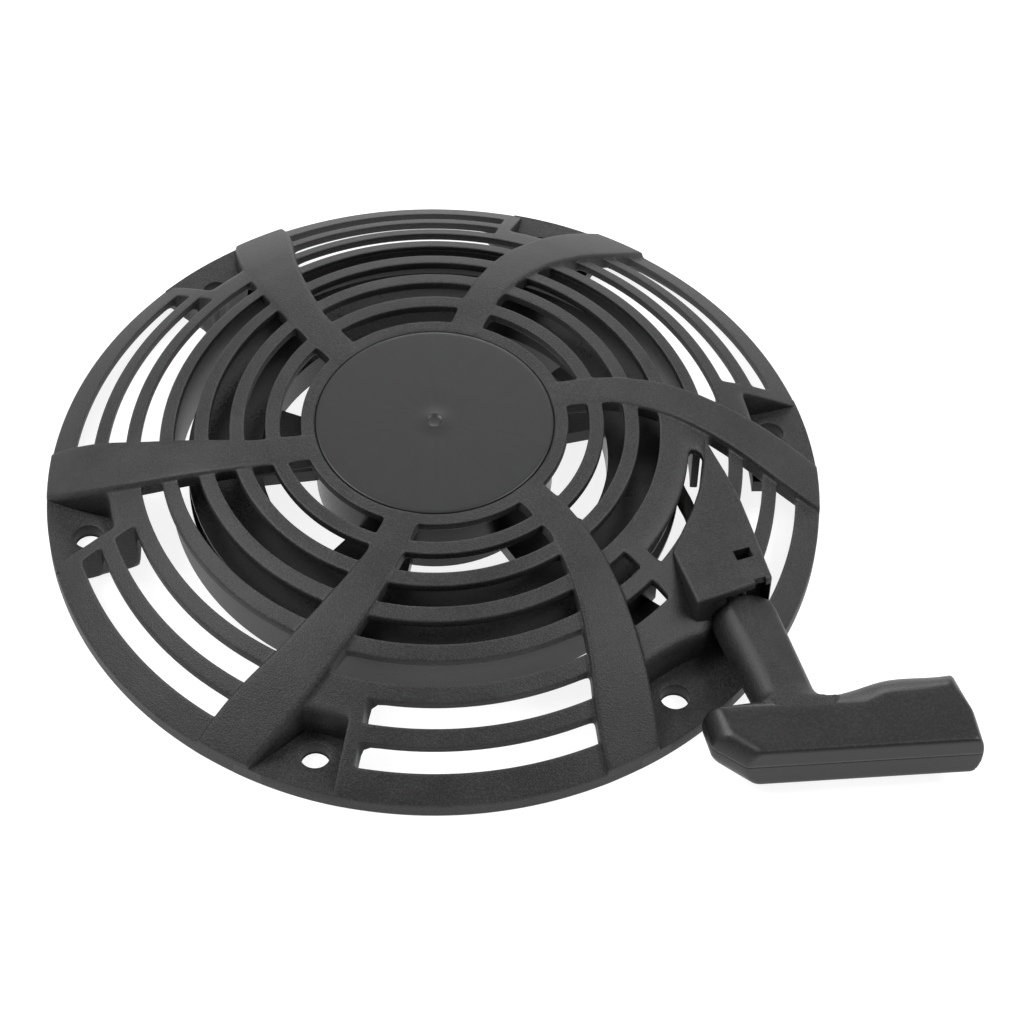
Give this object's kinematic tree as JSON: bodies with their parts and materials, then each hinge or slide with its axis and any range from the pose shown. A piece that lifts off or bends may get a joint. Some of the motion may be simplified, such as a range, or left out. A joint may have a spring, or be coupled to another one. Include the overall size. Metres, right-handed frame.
{
  "type": "recoil starter",
  "caption": "Round ringed cover with curved spokes, holding a rope pulley, spiral spring and two pawls, started by a T-shaped pull handle.",
  "frame": {"origin": "centre of the rim's bottom plane, on the axis of the engine's shaft, which is the centre of the bolt circle", "axes": "+Z out of the engine through the crown, the handle lies towards +X and -Y"},
  "size_m": [0.2915, 0.25, 0.0376],
  "materials": {
    "housing_nylon": "black glass-filled nylon with fine spark-erosion grain",
    "grip_nylon": "black moulded grip, smooth facets and a grained neck",
    "pulley_nylon": "black moulded nylon, smooth",
    "rope": "braided nylon starter rope",
    "bright_steel": "zinc plated steel",
    "pawl_steel": "hardened pressed steel",
    "spring_steel": "blued spring steel with an oil film"
  },
  "bodies": {
    "housing": {"housing": "housing_nylon", "rope_bush": "bright_steel", "pivot_sleeve": "bright_steel", "centre_screw": "bright_steel", "screw_washer": "bright_steel", "spring_anchor": "bright_steel", "brake_spring": "spring_steel", "thrust_washer": "bright_steel"},
    "pulley": {"pulley": "pulley_nylon", "rope_winding": "rope", "pulley_knot": "rope", "recoil_spring": "spring_steel", "pawl_pin_a": "bright_steel", "pawl_pin_b": "bright_steel", "pawl_spring_a": "spring_steel", "pawl_spring_b": "spring_steel"},
    "pawl_a": {"pawl_a": "pawl_steel"},
    "pawl_b": {"pawl_b": "pawl_steel"},
    "drive_plate": {"drive_plate": "pawl_steel"},
    "handle": {"handle_grip": "grip_nylon", "handle_insert": "bright_steel", "handle_washer": "bright_steel", "handle_knot": "rope", "rope_lead": "rope"}
  },
  "joints": [
    {"name": "handle_pull", "type": "slide", "parent": "housing", "child": "handle", "axis": [0.3371, -0.9415, 0], "range_m": [0, 0.75], "stiffness_N_per_m": 20, "springref_m": -0.3},
    {"name": "pulley_spin", "type": "hinge", "parent": "housing", "child": "pulley", "pos_m": [0, 0, 0.016], "axis": [0, 0, -1], "range_deg": [0, 720]},
    {"name": "pawl_a_swing", "type": "hinge", "parent": "pulley", "child": "pawl_a", "pos_m": [0, 0.023, 0.008], "axis": [0, 0, -1], "range_deg": [0, 30]},
    {"name": "pawl_b_swing", "type": "hinge", "parent": "pulley", "child": "pawl_b", "pos_m": [0, -0.023, 0.008], "axis": [0, 0, -1], "range_deg": [0, 30]},
    {"name": "drive_plate_turn", "type": "hinge", "parent": "pulley", "child": "drive_plate", "pos_m": [0, 0, 0.0048], "axis": [0, 0, 1], "range_deg": [0, 30]}
  ],
  "couplings": [
    {"joint": "pulley_spin", "follows": "handle_pull", "rad_per_m": 14.164},
    {"joint": "pawl_b_swing", "follows": "pawl_a_swing", "ratio": 1},
    {"joint": "drive_plate_turn", "follows": "pawl_a_swing", "ratio": 1}
  ]
}
